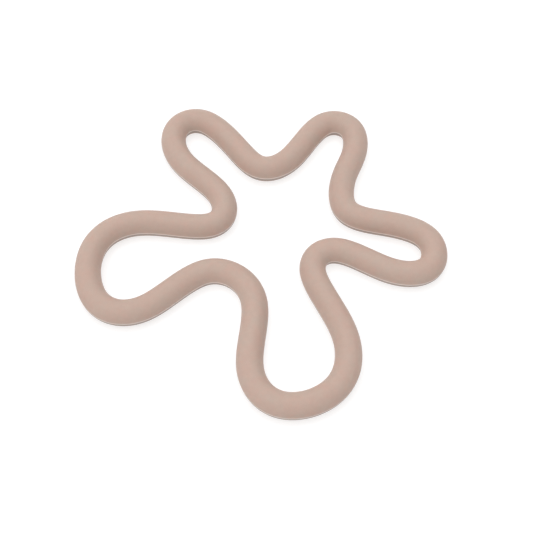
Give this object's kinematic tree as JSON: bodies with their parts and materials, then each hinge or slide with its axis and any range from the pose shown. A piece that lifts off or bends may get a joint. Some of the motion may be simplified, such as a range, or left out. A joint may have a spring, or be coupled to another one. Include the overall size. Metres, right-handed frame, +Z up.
{
  "type": "teething ring",
  "caption": "Soft silicone baby teether: a closed wavy loop of round rod, bent into rounded lobes to grip, bite and pass from hand to hand.",
  "frame": {"origin": "middle of the loop's footprint, on the surface that it rests on", "axes": "+Z up, out of the loop's flat side; +X towards the single right-hand lobe, along the loop's longest side; +Y towards the pair of narrow lobes"},
  "size_m": [0.1294, 0.1265, 0.0089],
  "materials": {
    "silicone_beige": "matte"
  },
  "bodies": {
    "root": {"silicone_ring": "silicone_beige"}
  },
  "joints": []
}
